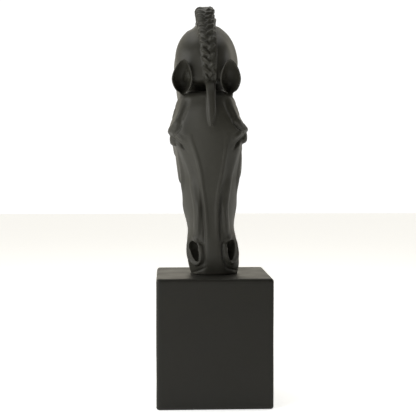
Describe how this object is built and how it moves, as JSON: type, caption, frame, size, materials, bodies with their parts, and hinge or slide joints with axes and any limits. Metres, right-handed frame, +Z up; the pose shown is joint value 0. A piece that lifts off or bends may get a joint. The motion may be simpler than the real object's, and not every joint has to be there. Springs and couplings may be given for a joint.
{
  "type": "horse head sculpture",
  "caption": "Cast horse's head standing nose down on a plain block plinth, with arched neck, plaited mane and cupped ears, in matt black.",
  "frame": {"origin": "centre of the plinth's underside", "axes": "+Z up, the horse's face looks along -Y, +X to the right of someone who faces it"},
  "size_m": [0.17, 0.2665, 0.603],
  "materials": {
    "cast_black": "satin",
    "block_black": "satin"
  },
  "bodies": {
    "root": {"horse_head": "cast_black", "plinth": "block_black"}
  },
  "joints": []
}
